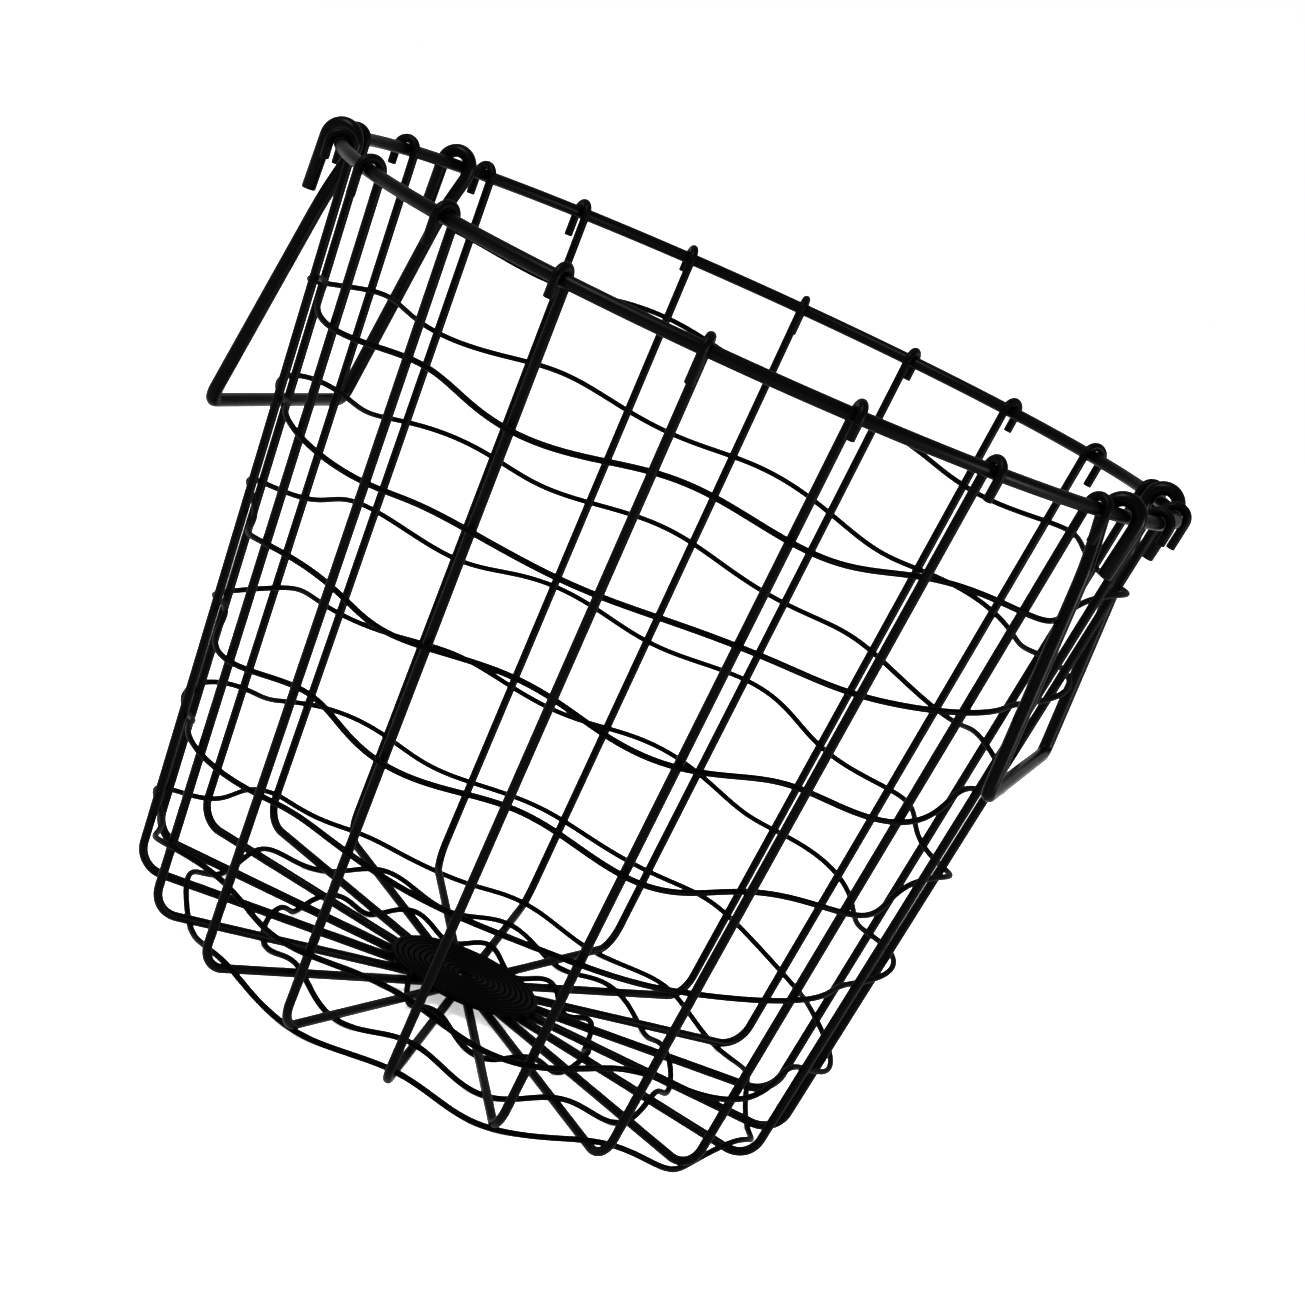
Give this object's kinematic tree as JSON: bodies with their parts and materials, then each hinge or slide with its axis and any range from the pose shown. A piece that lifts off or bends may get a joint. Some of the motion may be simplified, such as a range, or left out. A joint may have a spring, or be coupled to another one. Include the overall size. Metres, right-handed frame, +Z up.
{
  "type": "egg collection basket",
  "caption": "Round tapered open basket of black steel wire: a rim hoop, bent upright ribs, one thin wire woven round them, and swing handles on two sides.",
  "frame": {"origin": "middle of the base, on the surface that the basket stands on", "axes": "+Z up the basket's axis to the open mouth; the two handles are on +X and -X"},
  "size_m": [0.3068, 0.3068, 0.2617],
  "materials": {
    "rim_wire": "satin black coated steel wire",
    "rib_wire": "satin black coated steel wire",
    "weaver_wire": "satin black coated steel wire",
    "handle_wire": "satin black coated steel wire, slightly polished by hands"
  },
  "bodies": {
    "basket": {"rim_hoop": "rim_wire", "weaver": "weaver_wire", "rib_01": "rib_wire", "rib_02": "rib_wire", "rib_03": "rib_wire", "rib_04": "rib_wire", "rib_05": "rib_wire", "rib_06": "rib_wire", "rib_07": "rib_wire", "rib_08": "rib_wire", "rib_09": "rib_wire", "rib_10": "rib_wire", "rib_11": "rib_wire", "rib_12": "rib_wire", "rib_13": "rib_wire", "rib_14": "rib_wire", "rib_15": "rib_wire", "rib_16": "rib_wire", "rib_17": "rib_wire", "rib_18": "rib_wire", "rib_19": "rib_wire", "rib_20": "rib_wire"},
    "left_handle": {"left_handle": "handle_wire"},
    "right_handle": {"right_handle": "handle_wire"}
  },
  "joints": [
    {"name": "left_handle_swing", "type": "hinge", "parent": "basket", "child": "left_handle", "pos_m": [-0.13994, 0, 0.254], "axis": [0, 1, 0], "range_deg": [0, 332]},
    {"name": "right_handle_swing", "type": "hinge", "parent": "basket", "child": "right_handle", "pos_m": [0.13994, 0, 0.254], "axis": [0, -1, 0], "range_deg": [0, 332]}
  ]
}
